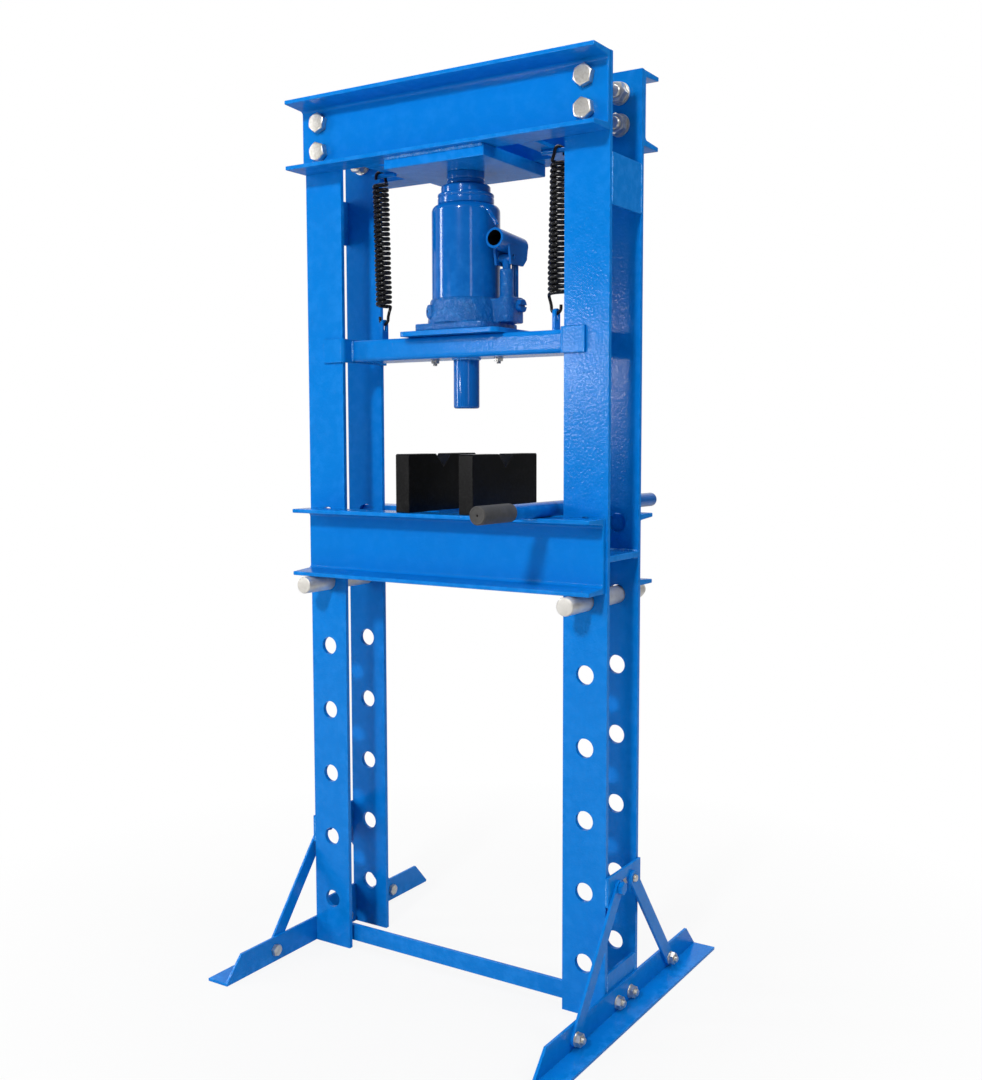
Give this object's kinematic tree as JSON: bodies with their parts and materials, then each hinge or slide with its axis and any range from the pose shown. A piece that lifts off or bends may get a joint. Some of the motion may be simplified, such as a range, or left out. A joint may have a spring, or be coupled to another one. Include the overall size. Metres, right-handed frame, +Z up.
{
  "type": "hydraulic press",
  "caption": "H-frame workshop press: a bottle jack on a spring-returned sliding crosshead pushes a round ram nose towards a height-adjustable channel bed with notched press blocks.",
  "frame": {"origin": "bottom centre of the whole press on the floor, midway between the feet", "axes": "+Z up, X along the beams and the crosshead, Y from front to back; the pump is on the +X side of the jack"},
  "size_m": [0.702, 0.596, 1.54],
  "materials": {
    "blue_paint": "glossy azure blue enamel over rolled steel and castings",
    "zinc_steel": "bright zinc plating, slightly dull",
    "ground_steel": "ground and polished",
    "spring_wire": "black satin coated spring wire",
    "block_black": "black satin paint",
    "grip_rubber": "dark grey ribbed grip"
  },
  "bodies": {
    "frame": {"upright_front_left": "blue_paint", "upright_front_right": "blue_paint", "upright_rear_left": "blue_paint", "upright_rear_right": "blue_paint", "top_beam_front": "blue_paint", "top_beam_rear": "blue_paint", "upper_spacer_left": "blue_paint", "upper_spacer_right": "blue_paint", "mid_spacer_left": "blue_paint", "mid_spacer_right": "blue_paint", "brace_bracket_left": "blue_paint", "brace_bracket_right": "blue_paint", "base_plate_left": "blue_paint", "base_plate_right": "blue_paint", "foot_left": "blue_paint", "foot_right": "blue_paint", "brace_front_left": "blue_paint", "brace_front_right": "blue_paint", "brace_rear_left": "blue_paint", "brace_rear_right": "blue_paint", "cross_brace": "blue_paint", "bolster_plate": "blue_paint", "ram_socket": "blue_paint", "spring_hanger_left": "blue_paint", "spring_hanger_right": "blue_paint", "jack_piston": "ground_steel", "return_spring_left": "spring_wire", "return_spring_right": "spring_wire", "beam_bolts": "zinc_steel", "beam_nuts": "zinc_steel", "beam_washers": "zinc_steel", "foot_bolts": "zinc_steel", "foot_nuts": "zinc_steel"},
    "carriage": {"crosshead_tube": "blue_paint", "guide_left": "blue_paint", "guide_right": "blue_paint", "spring_lug_left": "blue_paint", "spring_lug_right": "blue_paint", "jack_seat_plate": "blue_paint", "seat_studs": "zinc_steel", "ram_nose": "blue_paint", "jack_base": "blue_paint", "reservoir": "blue_paint", "pressure_tube": "ground_steel", "jack_top_nut": "blue_paint", "pump_link": "blue_paint"},
    "pump_lever": {"handle_socket": "blue_paint", "fulcrum_pin": "blue_paint"},
    "plunger": {"pump_plunger": "blue_paint"},
    "valve": {"release_valve": "blue_paint"},
    "bed": {"bed_channel_front": "blue_paint", "bed_channel_rear": "blue_paint", "bed_ties": "blue_paint", "v_block_left": "block_black", "v_block_right": "block_black", "handle_rod": "blue_paint", "handle_grip": "grip_rubber"},
    "pin_left": {"bed_pin_left": "zinc_steel"},
    "pin_right": {"bed_pin_right": "zinc_steel"}
  },
  "joints": [
    {"name": "ram_travel", "type": "slide", "parent": "frame", "child": "carriage", "axis": [0, 0, -1], "range_m": [0, 0.15], "deforming": ["return_spring_left", "return_spring_right"]},
    {"name": "pump_stroke", "type": "hinge", "parent": "carriage", "child": "pump_lever", "pos_m": [0.082, 0.027, 1.251], "axis": [1, 0, 0], "range_deg": [0, 20]},
    {"name": "plunger_slide", "type": "slide", "parent": "carriage", "child": "plunger", "axis": [0, 0, -1], "range_m": [0, 0.01]},
    {"name": "release_turn", "type": "hinge", "parent": "carriage", "child": "valve", "pos_m": [0.096, 0.016, 1.172], "axis": [1, 0, 0], "range_deg": [0, 180]},
    {"name": "bed_lift", "type": "slide", "parent": "frame", "child": "bed", "axis": [0, 0, 1], "range_m": [0, 0.01]},
    {"name": "pin_left_pull", "type": "slide", "parent": "frame", "child": "pin_left", "axis": [0, -1, 0], "range_m": [0, 0.2]},
    {"name": "pin_right_pull", "type": "slide", "parent": "frame", "child": "pin_right", "axis": [0, -1, 0], "range_m": [0, 0.2]}
  ],
  "couplings": [
    {"joint": "plunger_slide", "follows": "pump_stroke", "m_per_rad": 0.027856}
  ]
}
